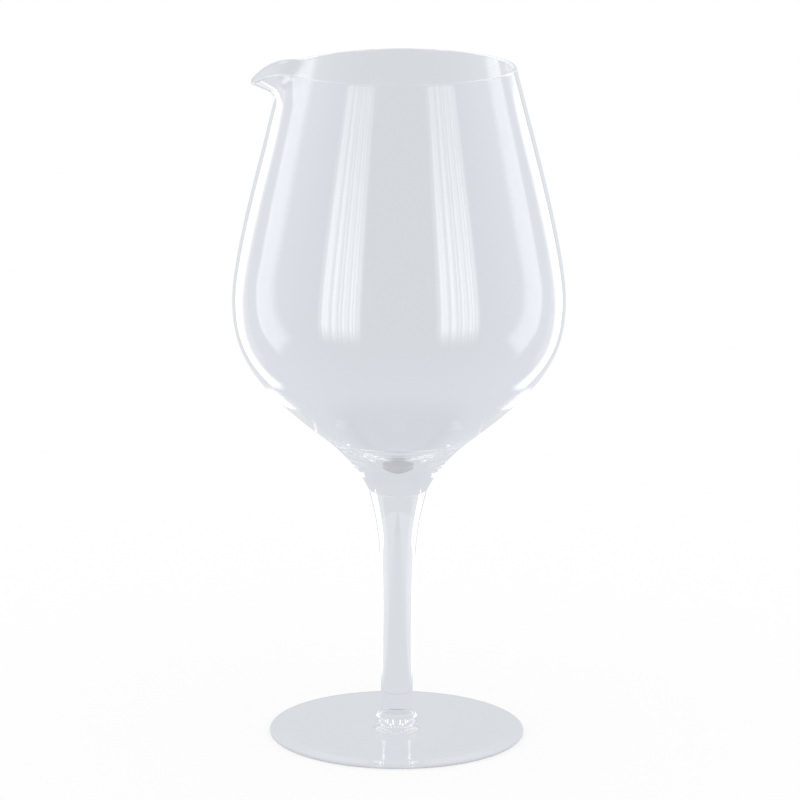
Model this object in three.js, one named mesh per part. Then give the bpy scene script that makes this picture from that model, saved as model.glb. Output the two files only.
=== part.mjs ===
import * as THREE from 'three';

// A footed glass carafe: a blown bowl with a drawn pouring lip, a drawn stem and a spun foot,
// fused one on top of the other. Millimetres, Z up. The foot stands on Z = 0 and the lip points to -X.

// Foot
const footRadius = 66;
const footEdge = 1.8;
const footHeight = 9;
const footEdgeSlope = 4;
const footEdgeEase = 22;
const footCrownSlope = 12;
const footCrownEase = 16;
const footRingRadius = 57;
const footRingEase = 25;
const footHollow = 4.5;
const footHollowEase = 20;

// Stem
const junctionRadius = 10.7;
const flareHeight = 5;
const flareDraw = 1.2;
const stemRadius = 8.2;
const stemLength = 121;
const waistHeight = 51;
const waistEase = 45;
const stemTopSlope = 76;
const stemTopEase = 16;

// Bowl, with each height measured from the level below it
const weldRadius = 15;
const weldGroove = 0.4;
const weldGrooveHeight = 1;
const weldSlope = 65;
const weldEase = 13;
const flankHeight = 29;
const flankRadius = 39;
const flankSlope = 38;
const flankEaseBelow = 9;
const flankEaseAbove = 47;
const bellyHeight = 71;
const bellyRadius = 85;
const bellyEaseBelow = 27;
const bellyEaseAbove = 23;
const rimHeight = 120;
const rimRadius = 58.6;
const rimLean = 15;
const lipEase = 25;

// Thickness of the glass
const wall = 1.8;
const flankWall = 2.2;
const shelfHeight = 22.4;
const shelfRadius = 18;
const shelfSlope = 18;
const shelfSideEase = 5.8;
const shelfEase = 6.8;
const baseThickness = 15.9;
const dimpleSideEase = 8.6;
const dimpleEase = 2.6;

// Pouring lip: the top of the wall folds outwards over a round bend and sags a little on both sides of it
const lipLength = 18;
const bendLength = 10;
const foldAngle = 82;
const spoutSpread = 20;
const spoutSharpness = 3;
const spoutPull = 0.7;
const pullReach = 28;
const sagDepth = 1.4;
const sagSpread = 65;

// Steps round the axis, and along each stretch of an outline
const turnSteps = 80;
const shortSteps = 5;
const longSteps = 8;
const lipSteps = 6;
const edgeSteps = 4;

// Shorter than any real length or angle here
const tiny = 1e-6;

// Levels
const weldLevel = footHeight + stemLength;
const waistLevel = footHeight + waistHeight;
const flankLevel = weldLevel + flankHeight;
const bellyLevel = flankLevel + bellyHeight;
const rimLevel = bellyLevel + rimHeight;
const shelfLevel = weldLevel + shelfHeight;
const floorLevel = weldLevel + baseThickness;

const radians = THREE.MathUtils.degToRad;
const point = (radius, height) => new THREE.Vector2(radius, height);

// A point that lies a distance away at a slope, in degrees above the outward horizontal
function away(from, slope, distance) {
  const angle = radians(slope);
  return point(from.x + distance * Math.cos(angle), from.y + distance * Math.sin(angle));
}

// Joins stretches of outline into one list of points, without the doubled points where they meet
function outline(...stretches) {
  const points = stretches.flatMap(([curve, steps]) => curve.getPoints(steps));
  return points.filter((p, i) => i === 0 || p.distanceTo(points[i - 1]) > tiny);
}

const line = (from, to, steps = 1) => [new THREE.LineCurve(from, to), steps];
const bezier = (a, b, c, d, steps) => [new THREE.CubicBezierCurve(a, b, c, d), steps];
const bend = (a, b, c, steps) => [new THREE.QuadraticBezierCurve(a, b, c), steps];

// Half a turn of a small circle, from a start angle in degrees
function roundEdge(centre, radius, start) {
  const from = radians(start);
  return [new THREE.EllipseCurve(centre.x, centre.y, radius, radius, from, from + Math.PI), edgeSteps];
}

// Turns an outline about the Z axis
function turned(points) {
  const geometry = new THREE.LatheGeometry(points, turnSteps);
  geometry.rotateX(Math.PI / 2);
  return geometry;
}

function footOutline() {
  const edgeCentre = point(footRadius - footEdge / 2, footEdge / 2);
  const edgeTop = point(edgeCentre.x, footEdge);
  const crown = point(junctionRadius, footHeight);
  const hollow = point(0, footHollow);
  const ring = point(footRingRadius, 0);
  return outline(
    bezier(
      hollow,
      away(hollow, 0, footHollowEase),
      away(ring, -footEdgeSlope, -footRingEase),
      ring,
      longSteps,
    ),
    line(ring, point(edgeCentre.x, 0)),
    roundEdge(edgeCentre, footEdge / 2, -90),
    bezier(
      edgeTop,
      away(edgeTop, 180 - footEdgeSlope, footEdgeEase),
      away(crown, -footCrownSlope, footCrownEase),
      crown,
      longSteps,
    ),
    line(crown, point(0, footHeight)),
  );
}

function stemOutline() {
  const junction = point(junctionRadius, footHeight);
  const flare = point(stemRadius, footHeight + flareHeight);
  const waist = point(stemRadius, waistLevel);
  const weld = point(weldRadius, weldLevel);
  const groove = point(weldRadius - weldGroove, weldLevel);
  const grooveEdge = away(weld, stemTopSlope, -weldGrooveHeight);
  return outline(
    line(point(0, footHeight), junction),
    bend(junction, point(stemRadius, footHeight + flareDraw), flare, shortSteps),
    line(flare, waist),
    bezier(
      waist,
      away(waist, 90, waistEase),
      away(grooveEdge, stemTopSlope, -stemTopEase),
      grooveEdge,
      longSteps,
    ),
    bend(grooveEdge, weld, groove, edgeSteps),
    line(groove, point(0, weldLevel)),
  );
}

// The middle of the round rim, and the point down the straight top of the wall where the lip starts to fold
const lipCentre = point(rimRadius - wall / 2, rimLevel - wall / 2);
const foldStart = away(lipCentre, 90 + rimLean, -lipLength);

function bowlOutline() {
  const weld = point(weldRadius, weldLevel);
  const groove = point(weldRadius - weldGroove, weldLevel);
  const grooveEdge = away(weld, weldSlope, weldGrooveHeight);
  const flank = point(flankRadius, flankLevel);
  const belly = point(bellyRadius, bellyLevel);
  const lipTop = away(lipCentre, rimLean, wall / 2);
  const lipFoot = away(foldStart, rimLean, wall / 2);
  const innerLipTop = away(lipCentre, rimLean, -wall / 2);
  const innerLipFoot = away(foldStart, rimLean, -wall / 2);
  const innerBelly = point(bellyRadius - wall, bellyLevel);
  const innerFlank = away(flank, 90 + flankSlope, flankWall);
  const shelf = point(shelfRadius, shelfLevel);
  const floor = point(0, floorLevel);
  return outline(
    line(point(0, weldLevel), groove),
    bend(groove, weld, grooveEdge, edgeSteps),
    bezier(
      grooveEdge,
      away(grooveEdge, weldSlope, weldEase),
      away(flank, flankSlope, -flankEaseBelow),
      flank,
      shortSteps,
    ),
    bezier(
      flank,
      away(flank, flankSlope, flankEaseAbove),
      away(belly, 90, -bellyEaseBelow),
      belly,
      longSteps,
    ),
    bezier(
      belly,
      away(belly, 90, bellyEaseAbove),
      away(lipFoot, 90 + rimLean, -lipEase),
      lipFoot,
      shortSteps,
    ),
    line(lipFoot, lipTop, lipSteps),
    roundEdge(lipCentre, wall / 2, rimLean),
    line(innerLipTop, innerLipFoot, lipSteps),
    bezier(
      innerLipFoot,
      away(innerLipFoot, 90 + rimLean, -lipEase),
      away(innerBelly, 90, bellyEaseAbove),
      innerBelly,
      shortSteps,
    ),
    bezier(
      innerBelly,
      away(innerBelly, 90, -bellyEaseBelow),
      away(innerFlank, flankSlope, flankEaseAbove),
      innerFlank,
      longSteps,
    ),
    bezier(
      innerFlank,
      away(innerFlank, flankSlope, -shelfSideEase),
      away(shelf, shelfSlope, shelfEase),
      shelf,
      shortSteps,
    ),
    bezier(
      shelf,
      away(shelf, shelfSlope, -dimpleSideEase),
      away(floor, 0, dimpleEase),
      floor,
      shortSteps,
    ),
  );
}

// Where a point of the plain wall goes when the lip is drawn, at a turn in degrees from the lip's middle
function drawn(plain, turn) {
  const offset = plain.clone().sub(foldStart);
  const along = offset.dot(away(point(0, 0), 90 + rimLean, 1));
  const across = offset.dot(away(point(0, 0), rimLean, 1));
  if (along < -pullReach) return plain;

  const fold = Math.exp(-((turn / spoutSpread) ** spoutSharpness));
  const sag = Math.exp(-((turn / sagSpread) ** 2));
  const bent = THREE.MathUtils.clamp(along, 0, bendLength);
  const curl = foldAngle * fold * (bent / bendLength);
  const slope = 90 + rimLean - curl;

  // The chord of the bend leads halfway between its end slopes, and is shorter than its arc
  const halfCurl = radians(curl) / 2;
  const chord = halfCurl > tiny ? bent * Math.sin(halfCurl) / halfCurl : bent;
  const bendEnd = away(foldStart, 90 + rimLean - curl / 2, chord);
  const middle = away(bendEnd, slope, along - bent);
  const placed = away(middle, slope - 90, across);

  const nearness = THREE.MathUtils.smoothstep(along, -pullReach, 0);
  const rise = (along + pullReach) / (lipLength + pullReach);
  return point(placed.x + spoutPull * fold * nearness, placed.y - sagDepth * sag * rise);
}

function drawLip(geometry) {
  const position = geometry.getAttribute('position');
  for (let i = 0; i < position.count; i += 1) {
    const x = position.getX(i);
    const y = position.getY(i);
    const angle = Math.atan2(y, x);
    const turn = 180 - Math.abs(THREE.MathUtils.radToDeg(angle));
    const placed = drawn(point(Math.hypot(x, y), position.getZ(i)), turn);
    position.setXYZ(i, placed.x * Math.cos(angle), placed.x * Math.sin(angle), placed.y);
  }
  geometry.computeVertexNormals();
  return geometry;
}

function glassPiece(name, geometry) {
  const material = new THREE.MeshStandardMaterial({ color: 0xe4e8ee, roughness: 0.03, metalness: 0 });
  const mesh = new THREE.Mesh(geometry, material);
  mesh.name = name;
  return mesh;
}

const carafe = new THREE.Group();
carafe.add(glassPiece('foot', turned(footOutline())));
carafe.add(glassPiece('stem', turned(stemOutline())));
carafe.add(glassPiece('bowl', drawLip(turned(bowlOutline()))));

export default carafe;
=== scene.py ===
"""A footed glass carafe: a blown bowl with a drawn pouring lip, a drawn stem and a spun foot."""

from math import cos, pi, radians, sin
from typing import NamedTuple

import bpy
from mathutils import Matrix, Vector
from mathutils.geometry import interpolate_bezier


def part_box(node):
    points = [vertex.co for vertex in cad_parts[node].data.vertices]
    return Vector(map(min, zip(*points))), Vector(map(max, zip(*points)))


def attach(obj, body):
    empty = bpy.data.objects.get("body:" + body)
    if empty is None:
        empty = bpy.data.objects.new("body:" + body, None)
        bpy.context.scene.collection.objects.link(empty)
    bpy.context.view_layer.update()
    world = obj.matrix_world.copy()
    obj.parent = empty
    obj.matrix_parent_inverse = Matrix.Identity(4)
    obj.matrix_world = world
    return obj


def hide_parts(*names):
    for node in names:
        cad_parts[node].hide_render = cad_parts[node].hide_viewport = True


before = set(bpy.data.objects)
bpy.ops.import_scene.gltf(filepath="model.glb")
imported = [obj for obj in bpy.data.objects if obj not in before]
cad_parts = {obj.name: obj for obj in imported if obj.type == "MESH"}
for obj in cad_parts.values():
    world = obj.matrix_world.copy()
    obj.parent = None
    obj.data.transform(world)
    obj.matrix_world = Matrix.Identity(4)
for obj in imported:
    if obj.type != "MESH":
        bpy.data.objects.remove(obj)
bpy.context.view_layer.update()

MM = 0.001
foot_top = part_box("foot")[1]
stem_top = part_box("stem")[1]
bowl_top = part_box("bowl")[1]

# Foot
FOOT_RADIUS = foot_top.x
FOOT_HEIGHT = foot_top.z
FOOT_EDGE = 1.8 * MM
FOOT_EDGE_SLOPE = 4
FOOT_EDGE_EASE = 22 * MM
FOOT_CROWN_SLOPE = 12
FOOT_CROWN_EASE = 16 * MM
FOOT_RING_RADIUS = 57 * MM
FOOT_RING_EASE = 25 * MM
FOOT_HOLLOW = 4.5 * MM
FOOT_HOLLOW_EASE = 20 * MM

# Stem
JUNCTION_RADIUS = 10.7 * MM
FLARE_HEIGHT = 5 * MM
FLARE_DRAW = 1.2 * MM
STEM_RADIUS = 8.2 * MM
WAIST_HEIGHT = 51 * MM
WAIST_EASE = 45 * MM
STEM_TOP_SLOPE = 76
STEM_TOP_EASE = 16 * MM

# Bowl, with each height measured from the level below it
WELD_RADIUS = 15 * MM
WELD_LEVEL = stem_top.z
WELD_GROOVE = 0.4 * MM
WELD_GROOVE_HEIGHT = 1 * MM
WELD_SLOPE = 65
WELD_EASE = 13 * MM
FLANK_HEIGHT = 29 * MM
FLANK_RADIUS = 39 * MM
FLANK_SLOPE = 38
FLANK_EASE_BELOW = 9 * MM
FLANK_EASE_ABOVE = 47 * MM
BELLY_HEIGHT = 71 * MM
BELLY_RADIUS = bowl_top.y
BELLY_EASE_BELOW = 27 * MM
BELLY_EASE_ABOVE = 23 * MM
RIM_HEIGHT = 120 * MM
RIM_RADIUS = 58.6 * MM
RIM_LEAN = 15
LIP_EASE = 25 * MM

# Thickness of the glass
WALL = 1.8 * MM
FLANK_WALL = 2.2 * MM
SHELF_HEIGHT = 22.4 * MM
SHELF_RADIUS = 18 * MM
SHELF_SLOPE = 18
SHELF_SIDE_EASE = 5.8 * MM
SHELF_EASE = 6.8 * MM
BASE_THICKNESS = 15.9 * MM
DIMPLE_SIDE_EASE = 8.6 * MM
DIMPLE_EASE = 2.6 * MM

# Pouring lip: the top of the wall folds outwards over a round bend and sags a little on both sides of it
LIP_LENGTH = 18 * MM
BEND_LENGTH = 10 * MM
FOLD_ANGLE = 82
SPOUT_SPREAD = 20
SPOUT_SHARPNESS = 3
SPOUT_PULL = 0.7 * MM
PULL_REACH = 28 * MM
SAG_DEPTH = 1.4 * MM
SAG_SPREAD = 65

# Steps round the axis, how much closer they lie at the lip, and steps along each stretch of an outline
TURN_STEPS = 420
CROWDING = 0.5
SHORT_STEPS = 10
LONG_STEPS = 20
LIP_STEPS = 24
EDGE_STEPS = 16

# Closer than any two points of the glass
TOUCHING = 0.001 * MM

# Smaller than any bend that shows, in radians
TINY_ANGLE = 1e-6

# Levels
FLANK_LEVEL = WELD_LEVEL + FLANK_HEIGHT
BELLY_LEVEL = FLANK_LEVEL + BELLY_HEIGHT
RIM_LEVEL = BELLY_LEVEL + RIM_HEIGHT
INNER_FLOOR_LEVEL = WELD_LEVEL + BASE_THICKNESS

# Edges that bend more than this, in degrees, stay sharp
SHARP_ANGLE = 40

# Glass: its colour, the painted shade that darkens the foot's edge, the shares of that edge's height where the
# painted shade starts and is full, and a trace of painted glow that stands in for the light that stays caught in
# the rim
WHITE = (1, 1, 1, 1)
GLASS_TINT = (0.985, 0.99, 1.0, 1)
PAINTED_EDGE_SHADE_COLOUR = (0.6, 0.61, 0.62, 1)
EDGE_SHADE_START = 0.7
EDGE_SHADE_FULL = 0.3
GLASS_IOR = 1.5
PAINTED_RIM_GLOW = 0.0013

# Ripples: how many to a metre across, back and up, their height, and their finer detail
BLOWN_RIPPLES = (30, 30, 4)
DRAWN_RIPPLES = (14, 14, 40)
BLOWN_RIPPLE_HEIGHT = 0.02 * MM
DRAWN_RIPPLE_HEIGHT = 0.01 * MM
RIPPLE_DETAIL = 2.0

# Camera, with its angles in degrees
PICTURE_PIXELS = 800
FOCAL_PIXELS = 4654.57
SENSOR = 36
CAMERA_PLACE = (0.774 * MM, -2320.58 * MM, 726.24 * MM)
CAMERA_PITCH = 13.3153
CAMERA_ROLL = 0.3341

# Floor, and the share of it that shows the shadow
FLOOR_COLOUR = (1, 1, 1, 1)
FLOOR_SIZE = 12
FLOOR_GAP = 0.2 * MM
SHADOW_SHARE = 0.25

# Tones of the studio in the glass: in general, painted light on both sides, painted shade far behind the middle,
# and a painted shadow steeply down by the foot
STUDIO_TONE = (0.704, 0.724, 0.758, 1)
PAINTED_SIDE_LIGHT_TONE = (0.75, 0.77, 0.805, 1)
PAINTED_BACK_SHADE_TONE = (0.680, 0.700, 0.722, 1)
PAINTED_SHADOW_TONE = (0.47, 0.48, 0.50, 1)

# Where those tones start and end, in metres
BESIDE_START = 0.02
BESIDE_FULL = 0.14
SIDE_START = 0.1
SIDE_FULL = 0.3
CORE_START = 0.65
CORE_FULL = 0.95
SHADE_START = 0.06
SHADE_END = 0.14

# How far the floor is turned from the viewer where the painted shadow under the foot is full and where it is gone,
# and by how much sooner it is gone past the foot's edge
SHADOW_FULL_FACING = 0.04
SHADOW_GONE_FACING = 0.22
SHADOW_FACING_SHIFT = 0.2
PAST_FOOT = 1.2 * FOOT_RADIUS

# Folds in the cloth of a softbox: how much light they take, and the range of the noise that makes them
FOLD_SHADE = 0.5
FOLD_START = 0.42
FOLD_FULL = 0.58
FOLD_DETAIL = 1.0

# The energy of each square metre of lamp that shows as white
WHITE_ENERGY = 4

# Enough for light that runs far inside the glass
BOUNCES = 512

# Places of the sockets for colours in a Mix node
MIX_FACTOR = 0
MIX_FIRST = 6
MIX_SECOND = 7
MIX_RESULT = 2


class Panel(NamedTuple):
    """A softbox on the right of the carafe, which has a mirrored twin on the left.

    A brightness of 1 is white. Its light fades towards its left, right, bottom and top, over the given shares of
    its width and height. Upright folds in its cloth show as faint lines.
    """

    lit: str
    centre: tuple
    aim: tuple
    size: tuple
    brightness: float
    fades: tuple
    folds: int = 0
    seen_through_glass: bool = True


PANELS = {
    "edge_panel": Panel(
        lit="bowl", centre=(0.2, 0.158, 0.18), aim=(0, 0.158, 0.18), size=(0.15, 0.36),
        brightness=1.0, fades=(0.35, 0.05, 0.05, 0.1),
    ),
    "stem_panel": Panel(
        lit="stem", centre=(0.4, 0.39, 0.15), aim=(0, 0.39, 0.15), size=(0.36, 0.3),
        brightness=1.1, fades=(0.1, 0.1, 0.1, 0.1),
    ),
    "stem_floor_panel": Panel(
        lit="stem", centre=(0.298, 0.074, 0.012), aim=(0.258, 0.043, 1.0), size=(0.25, 0.42),
        brightness=1.0, fades=(0.3, 0.06, 0.1, 0.05),
    ),
    "front_softbox": Panel(
        lit="bowl", centre=(0.407, -0.507, 0.39), aim=(0, 0, 0.39), size=(0.385, 0.78),
        brightness=4.4, fades=(0.2, 0.2, 0.22, 0.57), folds=14, seen_through_glass=False,
    ),
}


class Wire:
    """A socket of a node tree. Arithmetic on it adds Math nodes, and node() adds any other node."""

    def __init__(self, socket):
        self.socket = socket

    @classmethod
    def node(cls, tree, kind, settings=None, sockets=None, output=0):
        node = tree.nodes.new(kind)
        for name, value in (settings or {}).items():
            setattr(node, name, value)
        for name, value in (sockets or {}).items():
            if isinstance(value, Wire):
                tree.links.new(value.socket, node.inputs[name])
            else:
                node.inputs[name].default_value = value
        return cls(node.outputs[output]) if node.outputs else None

    def math(self, operation, *values):
        tree = self.socket.id_data
        return Wire.node(tree, "ShaderNodeMath", {"operation": operation}, dict(enumerate(values)))

    def also(self, output):
        return Wire(self.socket.node.outputs[output])

    def __add__(self, other):
        return self.math("ADD", self, other)

    def __sub__(self, other):
        return self.math("SUBTRACT", self, other)

    def __rsub__(self, other):
        return self.math("SUBTRACT", other, self)

    def __mul__(self, other):
        return self.math("MULTIPLY", self, other)

    def __truediv__(self, other):
        return self.math("DIVIDE", self, other)

    def __rtruediv__(self, other):
        return self.math("DIVIDE", other, self)

    def __pow__(self, other):
        return self.math("POWER", self, other)

    def __neg__(self):
        return self.math("MULTIPLY", self, -1)

    def __abs__(self):
        return self.math("ABSOLUTE", self)

    def __lt__(self, other):
        return self.math("LESS_THAN", self, other)

    __radd__ = __add__
    __rmul__ = __mul__

    def least(self, other):
        return self.math("MINIMUM", self, other)

    def most(self, other):
        return self.math("MAXIMUM", self, other)

    def cos(self):
        return self.math("COSINE", self)

    def sin(self):
        return self.math("SINE", self)

    def exp(self):
        return self.math("EXPONENT", self)

    def floor(self):
        return self.math("FLOOR", self)


def away(start, slope, distance):
    """The point that lies a distance away at a slope, in degrees above the outward horizontal."""
    return start + distance * Vector((cos(radians(slope)), sin(radians(slope))))


def curve(start, start_slope, start_ease, end, end_slope, end_ease, steps):
    """A smooth stretch of outline that leaves one point and reaches another at given slopes."""
    leave = away(start, start_slope, start_ease)
    arrive = away(end, end_slope, -end_ease)
    return interpolate_bezier(start, leave, arrive, end, steps + 1)


def bend(start, corner, end):
    """A stretch of outline that rounds a corner, as a quadratic curve."""
    return interpolate_bezier(start, start.lerp(corner, 2 / 3), end.lerp(corner, 2 / 3), end, SHORT_STEPS)


def round_edge(centre, radius, start):
    """Half a turn of a small circle, from a start angle in degrees."""
    return [away(centre, start + 180 * step / EDGE_STEPS, radius) for step in range(EDGE_STEPS + 1)]


def straight(start, end, steps):
    return [start.lerp(end, step / steps) for step in range(steps + 1)]


def outline(*stretches):
    """Joins stretches into one list of points, without the doubled points where they meet."""
    points = []
    for point in (Vector(point[:2]) for stretch in stretches for point in stretch):
        if not points or (point - points[-1]).length > TOUCHING:
            points.append(point)
    return points


def foot_outline():
    edge_centre = Vector((FOOT_RADIUS - FOOT_EDGE / 2, FOOT_EDGE / 2))
    edge_top = Vector((edge_centre.x, FOOT_EDGE))
    crown = Vector((JUNCTION_RADIUS, FOOT_HEIGHT))
    hollow = Vector((0, FOOT_HOLLOW))
    ring = Vector((FOOT_RING_RADIUS, 0))
    return outline(
        curve(hollow, 0, FOOT_HOLLOW_EASE, ring, -FOOT_EDGE_SLOPE, FOOT_RING_EASE, LONG_STEPS),
        straight(ring, Vector((edge_centre.x, 0)), SHORT_STEPS),
        round_edge(edge_centre, FOOT_EDGE / 2, -90),
        curve(
            edge_top, 180 - FOOT_EDGE_SLOPE, FOOT_EDGE_EASE,
            crown, 180 - FOOT_CROWN_SLOPE, FOOT_CROWN_EASE, LONG_STEPS,
        ),
        [Vector((0, FOOT_HEIGHT))],
    )


def stem_outline():
    junction = Vector((JUNCTION_RADIUS, FOOT_HEIGHT))
    flare_bend = Vector((STEM_RADIUS, FOOT_HEIGHT + FLARE_DRAW))
    flare = Vector((STEM_RADIUS, FOOT_HEIGHT + FLARE_HEIGHT))
    waist = Vector((STEM_RADIUS, FOOT_HEIGHT + WAIST_HEIGHT))
    weld = Vector((WELD_RADIUS, WELD_LEVEL))
    groove_edge = away(weld, STEM_TOP_SLOPE, -WELD_GROOVE_HEIGHT)
    groove = Vector((WELD_RADIUS - WELD_GROOVE, WELD_LEVEL))
    return outline(
        [Vector((0, FOOT_HEIGHT))],
        bend(junction, flare_bend, flare),
        straight(flare, waist, SHORT_STEPS),
        curve(waist, 90, WAIST_EASE, groove_edge, STEM_TOP_SLOPE, STEM_TOP_EASE, LONG_STEPS),
        bend(groove_edge, weld, groove),
        [Vector((0, WELD_LEVEL))],
    )


# The middle of the round rim, and the point down the straight top of the wall where the lip starts to fold
lip_centre = Vector((RIM_RADIUS - WALL / 2, RIM_LEVEL - WALL / 2))
fold_start = away(lip_centre, 90 + RIM_LEAN, -LIP_LENGTH)


def bowl_outline():
    weld = Vector((WELD_RADIUS, WELD_LEVEL))
    groove = Vector((WELD_RADIUS - WELD_GROOVE, WELD_LEVEL))
    groove_edge = away(weld, WELD_SLOPE, WELD_GROOVE_HEIGHT)
    flank = Vector((FLANK_RADIUS, FLANK_LEVEL))
    belly = Vector((BELLY_RADIUS, BELLY_LEVEL))
    lip_foot = away(fold_start, RIM_LEAN, WALL / 2)
    lip_top = away(lip_centre, RIM_LEAN, WALL / 2)
    inner_lip_foot = away(fold_start, RIM_LEAN, -WALL / 2)
    inner_lip_top = away(lip_centre, RIM_LEAN, -WALL / 2)
    inner_belly = Vector((BELLY_RADIUS - WALL, BELLY_LEVEL))
    inner_flank = away(flank, 90 + FLANK_SLOPE, FLANK_WALL)
    shelf = Vector((SHELF_RADIUS, WELD_LEVEL + SHELF_HEIGHT))
    inner_floor = Vector((0, INNER_FLOOR_LEVEL))
    return outline(
        [Vector((0, WELD_LEVEL))],
        bend(groove, weld, groove_edge),
        curve(groove_edge, WELD_SLOPE, WELD_EASE, flank, FLANK_SLOPE, FLANK_EASE_BELOW, SHORT_STEPS),
        curve(flank, FLANK_SLOPE, FLANK_EASE_ABOVE, belly, 90, BELLY_EASE_BELOW, LONG_STEPS),
        curve(belly, 90, BELLY_EASE_ABOVE, lip_foot, 90 + RIM_LEAN, LIP_EASE, LONG_STEPS),
        straight(lip_foot, lip_top, LIP_STEPS),
        round_edge(lip_centre, WALL / 2, RIM_LEAN),
        straight(inner_lip_top, inner_lip_foot, LIP_STEPS),
        curve(inner_lip_foot, RIM_LEAN - 90, LIP_EASE, inner_belly, -90, BELLY_EASE_ABOVE, LONG_STEPS),
        curve(
            inner_belly, -90, BELLY_EASE_BELOW,
            inner_flank, FLANK_SLOPE + 180, FLANK_EASE_ABOVE, LONG_STEPS,
        ),
        curve(
            inner_flank, FLANK_SLOPE + 180, SHELF_SIDE_EASE,
            shelf, SHELF_SLOPE + 180, SHELF_EASE, LONG_STEPS,
        ),
        curve(shelf, SHELF_SLOPE + 180, DIMPLE_SIDE_EASE, inner_floor, 180, DIMPLE_EASE, LONG_STEPS),
    )


def turned_glass_tree():
    """Turns an outline about the Z axis, and draws a pouring lip towards -X where it is given one."""
    tree = bpy.data.node_groups.new("turned_glass", "GeometryNodeTree")
    sizes = {
        "Fold Radius": 0.0, "Fold Level": 0.0, "Lean": 0.0, "Bend Length": 1.0, "Lip Length": 1.0,
        "Fold Angle": 0.0, "Spout Spread": 1.0, "Spout Sharpness": 1.0, "Spout Pull": 0.0,
        "Pull Reach": 1.0, "Sag Depth": 0.0, "Sag Spread": 1.0, "Crowding": 0.0,
        "Weld Below": -1.0, "Weld Above": -1.0,
    }
    kinds = {"Outline": "Geometry", "Turn Steps": "Int", "Glass": "Material", "Weld": "Material"}
    for name in [*kinds, *sizes]:
        socket = tree.interface.new_socket(name, socket_type="NodeSocket" + kinds.get(name, "Float"))
        if name in sizes:
            socket.default_value = sizes[name]
    tree.interface.new_socket("Piece", in_out="OUTPUT", socket_type="NodeSocketGeometry")
    given = Wire.node(tree, "NodeGroupInput")
    size = {name: given.also(name) for name in [*kinds, *sizes]}

    def add(kind, settings=None, sockets=None, output=0):
        return Wire.node(tree, kind, settings, sockets, output)

    # A grid with a row for each point of the outline and a column for each step round the axis
    points = add("GeometryNodeAttributeDomainSize", None, {"Geometry": size["Outline"]}, "Point Count")
    columns = size["Turn Steps"] + 1
    grid = add("GeometryNodeMeshGrid", None, {"Vertices X": points, "Vertices Y": columns}, "Mesh")
    index = add("GeometryNodeInputIndex")
    row = ((index + 0.5) / columns).floor()
    even_turn = ((index - row * columns) / size["Turn Steps"] * 2 - 1) * pi
    turn = even_turn - size["Crowding"] * even_turn.sin()
    spot = add(
        "GeometryNodeSampleIndex", {"data_type": "FLOAT_VECTOR"},
        {"Geometry": size["Outline"], "Value": add("GeometryNodeInputPosition"), "Index": row},
    )
    split = add("ShaderNodeSeparateXYZ", None, {"Vector": spot})
    radius = split.also("X")
    level = split.also("Z")

    # How far a point lies up the wall from the fold, and how far out from the wall's middle
    lean = size["Lean"]
    from_radius = radius - size["Fold Radius"]
    from_level = level - size["Fold Level"]
    along = from_level * lean.cos() - from_radius * lean.sin()
    across = from_radius * lean.cos() + from_level * lean.sin()

    # The bend, whose chord leads halfway between its end slopes and is shorter than its arc
    degrees = abs(turn) * (180 / pi)
    fold = (-((degrees / size["Spout Spread"]) ** size["Spout Sharpness"])).exp()
    sag = (-((degrees / size["Sag Spread"]) ** 2)).exp()
    bent = along.most(0).least(size["Bend Length"])
    curl = size["Fold Angle"] * fold * bent / size["Bend Length"]
    half_curl = (curl / 2).most(TINY_ANGLE)
    chord = bent * half_curl.sin() / half_curl
    chord_lean = lean - curl / 2
    end_lean = lean - curl
    rest = along - bent
    bend_radius = size["Fold Radius"] - chord * chord_lean.sin()
    bend_level = size["Fold Level"] + chord * chord_lean.cos()
    bent_radius = bend_radius - rest * end_lean.sin() + across * end_lean.cos()
    bent_level = bend_level + rest * end_lean.cos() + across * end_lean.sin()

    # The pull outwards below the bend, and the sag of the rim on both sides of it
    rise = (along / size["Pull Reach"] + 1).most(0)
    pulled = rise.least(1)
    nearness = pulled * pulled * (3 - 2 * pulled)
    drawn_radius = bent_radius + size["Spout Pull"] * fold * nearness
    drop = rise * size["Pull Reach"] / (size["Lip Length"] + size["Pull Reach"])
    drawn_level = bent_level - size["Sag Depth"] * sag * drop

    place = add(
        "ShaderNodeCombineXYZ", None,
        {"X": -drawn_radius * turn.cos(), "Y": drawn_radius * turn.sin(), "Z": drawn_level},
    )
    piece = add("GeometryNodeSetPosition", None, {"Geometry": grid, "Position": place})
    piece = add("GeometryNodeMergeByDistance", None, {"Geometry": piece, "Distance": TOUCHING})
    piece = add("GeometryNodeSetShadeSmooth", None, {"Geometry": piece, "Shade Smooth": True})
    piece = add("GeometryNodeRealizeInstances", None, {"Geometry": piece})
    piece = add("GeometryNodeSetMaterial", None, {"Geometry": piece, "Material": size["Glass"]})

    # The flat faces inside the welds
    height = add("ShaderNodeSeparateXYZ", None, {"Vector": add("GeometryNodeInputPosition")}, "Z")
    for weld in (size["Weld Below"], size["Weld Above"]):
        inside = abs(height - weld) < TOUCHING
        piece = add(
            "GeometryNodeSetMaterial", None,
            {"Geometry": piece, "Selection": inside, "Material": size["Weld"]},
        )
    Wire.node(tree, "NodeGroupOutput", None, {"Piece": piece})
    return tree


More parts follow.
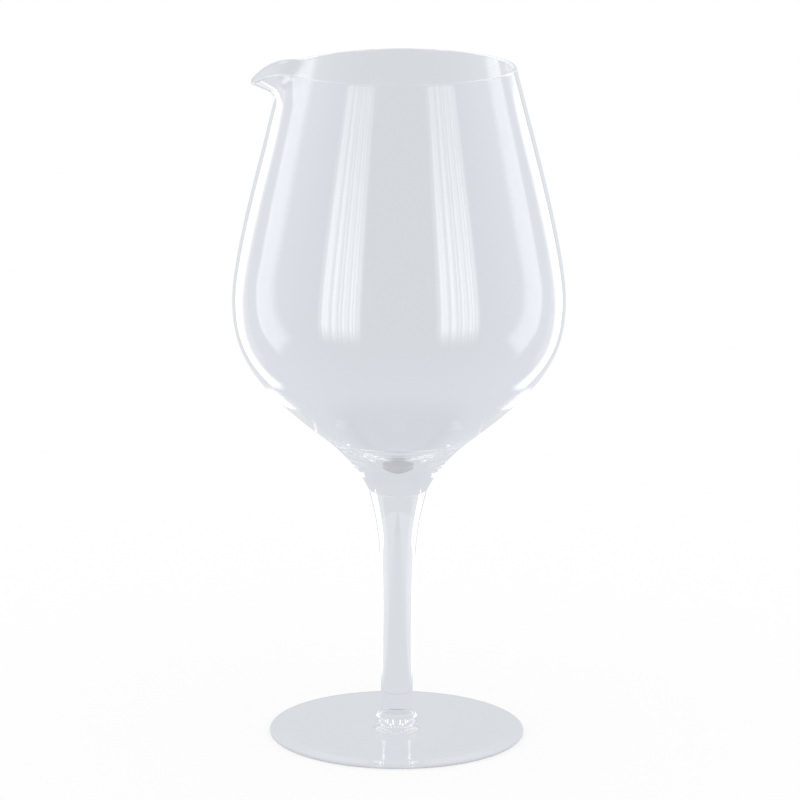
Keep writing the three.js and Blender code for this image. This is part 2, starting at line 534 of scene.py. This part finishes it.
def turned_piece(name, points, tree, sizes):
    """A plain mesh of the outline turned by the tree."""
    line = bpy.data.meshes.new(name + "_outline")
    edges = [(index, index + 1) for index in range(len(points) - 1)]
    line.from_pydata([(point.x, 0, point.y) for point in points], edges, [])
    maker = bpy.data.objects.new(name + "_maker", line)
    bpy.context.scene.collection.objects.link(maker)
    modifier = maker.modifiers.new("turned", "NODES")
    modifier.node_group = tree
    for item in tree.interface.items_tree:
        if item.name in sizes:
            modifier[item.identifier] = sizes[item.name]
    turned = maker.evaluated_get(bpy.context.evaluated_depsgraph_get())
    mesh = bpy.data.meshes.new_from_object(turned)
    bpy.data.objects.remove(maker)
    mesh.name = name
    mesh.set_sharp_from_angle(angle=radians(SHARP_ANGLE))
    piece = bpy.data.objects.new(name, mesh)
    bpy.context.scene.collection.objects.link(piece)
    return piece


def mixed(tree, factor, first, second):
    """Two colours, mixed."""
    sockets = {MIX_FACTOR: factor, MIX_FIRST: first, MIX_SECOND: second}
    return Wire.node(tree, "ShaderNodeMix", {"data_type": "RGBA"}, sockets, MIX_RESULT)


def fading(tree, along, start, end):
    """Rises smoothly from 0 at one place to 1 at another."""
    return Wire.node(
        tree, "ShaderNodeMapRange", {"interpolation_type": "SMOOTHSTEP"},
        {"Value": along, "From Min": start, "From Max": end},
    )


def clear_glass(name, ripples, ripple_height, with_painted_edge_shade):
    """Clear glass with the faint ripples of blowing or turning, with painted shade darkening the foot's edge where
    that is asked.
    """
    material = bpy.data.materials.new(name)
    material.use_nodes = True
    tree = material.node_tree
    tree.nodes.clear()
    place = Wire.node(tree, "ShaderNodeTexCoord", output="Object")
    stretched = Wire.node(tree, "ShaderNodeMapping", None, {"Vector": place, "Scale": ripples})
    waves = Wire.node(
        tree, "ShaderNodeTexNoise", None,
        {"Vector": stretched, "Scale": 1.0, "Detail": RIPPLE_DETAIL},
    )
    bump = Wire.node(
        tree, "ShaderNodeBump", None,
        {"Strength": 1.0, "Distance": ripple_height, "Height": waves},
    )
    tint_and_edge_shade = GLASS_TINT
    # Painted shade: the foot's outer edge gets a darker colour that paints the dark line its edge shows in light
    if with_painted_edge_shade:
        across = Wire.node(tree, "ShaderNodeSeparateXYZ", None, {"Vector": place})
        back = across.also("Y")
        radius = (across * across + back * back) ** 0.5
        level = across.also("Z")
        outer = fading(tree, radius, FOOT_RADIUS - FOOT_EDGE / 2, FOOT_RADIUS)
        lower = fading(tree, level, FOOT_EDGE * EDGE_SHADE_START, FOOT_EDGE * EDGE_SHADE_FULL)
        tint_and_edge_shade = mixed(tree, outer * lower, GLASS_TINT, PAINTED_EDGE_SHADE_COLOUR)
    # Painted glow: a faint emission that stands in for the light that stays caught in the rim
    glass = Wire.node(
        tree, "ShaderNodeBsdfPrincipled", None,
        {
            "Base Color": tint_and_edge_shade, "Roughness": 0.0, "IOR": GLASS_IOR, "Transmission Weight": 1.0,
            "Emission Color": WHITE, "Emission Strength": PAINTED_RIM_GLOW, "Normal": bump,
        },
    )
    Wire.node(tree, "ShaderNodeOutputMaterial", None, {"Surface": glass})
    return material


def weld_material():
    """The inside of a weld, where the glass has run together and has no surface."""
    material = bpy.data.materials.new("fused_weld")
    material.use_nodes = True
    material.node_tree.nodes["Principled BSDF"].inputs["Alpha"].default_value = 0.0
    return material


def pale_surface_rays(tree):
    """Whether a ray that meets a surface is the camera's own, and whether it shows the surface in the glass."""
    rays = Wire.node(tree, "ShaderNodeLightPath")
    mirrored = rays.also("Is Glossy Ray")
    through = rays.also("Is Transmission Ray")
    return rays.also("Is Camera Ray"), mirrored.most(through)


def studio_floor():
    """A pale floor that the camera sees as white, with a soft shadow, and that is a little darker in the glass,
    where it has painted light on both sides, painted shade far behind the middle and a painted shadow under the
    foot.
    """
    bpy.ops.mesh.primitive_plane_add(size=FLOOR_SIZE, location=(0, 0, -FLOOR_GAP))
    floor = bpy.context.object
    floor.name = "studio_floor"
    material = bpy.data.materials.new("pale_floor")
    material.use_nodes = True
    tree = material.node_tree
    tree.nodes.clear()
    camera, in_glass = pale_surface_rays(tree)
    facing = Wire.node(tree, "ShaderNodeLayerWeight", None, {"Blend": 0.5}, "Facing")
    place = Wire.node(tree, "ShaderNodeTexCoord", output="Object")
    across = Wire.node(tree, "ShaderNodeSeparateXYZ", None, {"Vector": place})
    back = across.also("Y")
    distance = (across * across + back * back) ** 0.5
    past_foot = fading(tree, distance, FOOT_RADIUS, PAST_FOOT)
    # Painted shadow on the floor under and round the foot, which shows in the glass where the floor is seen
    # steeply
    steep = fading(tree, facing - SHADOW_FACING_SHIFT * past_foot, SHADOW_GONE_FACING, SHADOW_FULL_FACING)
    painted_shadow = steep * fading(tree, distance, SHADE_END, SHADE_START)
    # Painted light: the floor on both sides shows lighter in the glass
    beside = fading(tree, abs(across), BESIDE_START, BESIDE_FULL)
    sides = beside * fading(tree, back, SIDE_START, SIDE_FULL)
    # Painted shade: the floor far behind the middle shows darker in the glass
    back_shade = (1 - beside) * fading(tree, back, CORE_START, CORE_FULL)
    paper = Wire.node(tree, "ShaderNodeBsdfDiffuse", None, {"Color": FLOOR_COLOUR})
    white = Wire.node(tree, "ShaderNodeEmission", None, {"Color": WHITE})
    seen = mixed(tree, back_shade, mixed(tree, sides, STUDIO_TONE, PAINTED_SIDE_LIGHT_TONE), PAINTED_BACK_SHADE_TONE)
    seen = mixed(tree, painted_shadow, seen, PAINTED_SHADOW_TONE)
    tone = Wire.node(tree, "ShaderNodeEmission", None, {"Color": seen})
    whiter = camera * (1 - SHADOW_SHARE)
    surface = Wire.node(tree, "ShaderNodeMixShader", None, {0: whiter, 1: paper, 2: white})
    surface = Wire.node(tree, "ShaderNodeMixShader", None, {0: in_glass, 1: surface, 2: tone})
    Wire.node(tree, "ShaderNodeOutputMaterial", None, {"Surface": surface})
    floor.data.materials.append(material)


def studio_world():
    """An even pale studio: white to the camera, a little darker where it shows in the glass."""
    world = bpy.data.worlds.new("studio")
    bpy.context.scene.world = world
    world.use_nodes = True
    tree = world.node_tree
    tree.nodes.clear()
    in_glass = pale_surface_rays(tree)[1]
    tone = mixed(tree, in_glass, WHITE, STUDIO_TONE)
    light = Wire.node(tree, "ShaderNodeBackground", None, {"Color": tone})
    Wire.node(tree, "ShaderNodeOutputWorld", None, {"Surface": light})


def softbox(name, panel, side, piece):
    """Hangs a panel on one side, with side 1 for the right and -1 for the left, where only one piece shows it."""
    width, height = panel.size
    left_fade, right_fade = panel.fades[:2][::side]
    bottom_fade, top_fade = panel.fades[2:]
    centre = Vector(panel.centre) * Vector((side, 1, 1))
    aim = Vector(panel.aim) * Vector((side, 1, 1))
    lamp = bpy.data.lights.new(name, "AREA")
    lamp.shape = "RECTANGLE"
    lamp.size = width
    lamp.size_y = height
    lamp.energy = WHITE_ENERGY * panel.brightness * width * height
    lamp.use_nodes = True
    tree = lamp.node_tree
    tree.nodes.clear()
    spot = Wire.node(tree, "ShaderNodeNewGeometry", output="Parametric")
    across = Wire.node(tree, "ShaderNodeSeparateXYZ", None, {"Vector": spot}, "X")
    up = across.also("Y")
    sides = fading(tree, across, 0, left_fade) * fading(tree, across, 1, 1 - right_fade)
    glow = sides * fading(tree, up, 0, bottom_fade) * fading(tree, up, 1, 1 - top_fade)
    if panel.folds:
        cloth = Wire.node(
            tree, "ShaderNodeTexNoise", {"noise_dimensions": "1D"},
            {"W": across * panel.folds, "Scale": 1.0, "Detail": FOLD_DETAIL},
        )
        glow = glow * (1 - FOLD_SHADE * fading(tree, cloth, FOLD_START, FOLD_FULL))
    light = Wire.node(tree, "ShaderNodeEmission", None, {"Strength": glow})
    Wire.node(tree, "ShaderNodeOutputLight", None, {"Surface": light})
    softbox_object = bpy.data.objects.new(name, lamp)
    softbox_object.location = centre
    softbox_object.rotation_euler = (aim - centre).to_track_quat("-Z", "Y").to_euler()
    softbox_object.visible_camera = False
    softbox_object.visible_transmission = panel.seen_through_glass
    bpy.context.scene.collection.objects.link(softbox_object)
    receivers = bpy.data.collections.new(name + "_receivers")
    receivers.objects.link(piece)
    softbox_object.light_linking.receiver_collection = receivers


def photo_camera():
    """A camera where the photo was taken from."""
    camera = bpy.data.cameras.new("camera")
    camera.sensor_width = SENSOR
    camera.lens = FOCAL_PIXELS * SENSOR / PICTURE_PIXELS
    view = bpy.data.objects.new("camera", camera)
    tilt = Matrix.Rotation(radians(90 - CAMERA_PITCH), 4, "X")
    roll = Matrix.Rotation(radians(CAMERA_ROLL), 4, "Z")
    view.matrix_world = Matrix.Translation(CAMERA_PLACE) @ tilt @ roll
    bpy.context.scene.collection.objects.link(view)
    bpy.context.scene.camera = view


photo_camera()
studio_world()
studio_floor()

tree = turned_glass_tree()
weld = weld_material()
lip = {
    "Fold Radius": fold_start.x, "Fold Level": fold_start.y, "Lean": radians(RIM_LEAN),
    "Bend Length": BEND_LENGTH, "Lip Length": LIP_LENGTH, "Fold Angle": radians(FOLD_ANGLE),
    "Spout Spread": float(SPOUT_SPREAD), "Spout Sharpness": float(SPOUT_SHARPNESS), "Spout Pull": SPOUT_PULL,
    "Pull Reach": PULL_REACH, "Sag Depth": SAG_DEPTH, "Sag Spread": float(SAG_SPREAD), "Crowding": CROWDING,
}
stem_welds = {"Weld Below": FOOT_HEIGHT, "Weld Above": WELD_LEVEL}
plans = {
    "bowl": (bowl_outline(), {"Weld Below": WELD_LEVEL, **lip}, BLOWN_RIPPLES, BLOWN_RIPPLE_HEIGHT),
    "stem": (stem_outline(), stem_welds, DRAWN_RIPPLES, DRAWN_RIPPLE_HEIGHT),
    "foot": (foot_outline(), {"Weld Above": FOOT_HEIGHT}, DRAWN_RIPPLES, DRAWN_RIPPLE_HEIGHT),
}
pieces = {}
for name, (points, sizes, ripples, ripple_height) in plans.items():
    glass = clear_glass(name + "_clear_glass", ripples, ripple_height, name == "foot")
    common = {"Turn Steps": TURN_STEPS, "Glass": glass, "Weld": weld}
    piece = turned_piece("glass_" + name, points, tree, {**common, **sizes})
    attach(piece, "root")
    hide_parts(name)
    name + "_glass"
    pieces[name] = piece

for side in (-1, 1):
    for name, panel in PANELS.items():
        softbox(name, panel, side, pieces[panel.lit])

scene = bpy.context.scene
scene.view_settings.view_transform = "Standard"
scene.cycles.max_bounces = BOUNCES
scene.cycles.transmission_bounces = BOUNCES
scene.cycles.glossy_bounces = BOUNCES
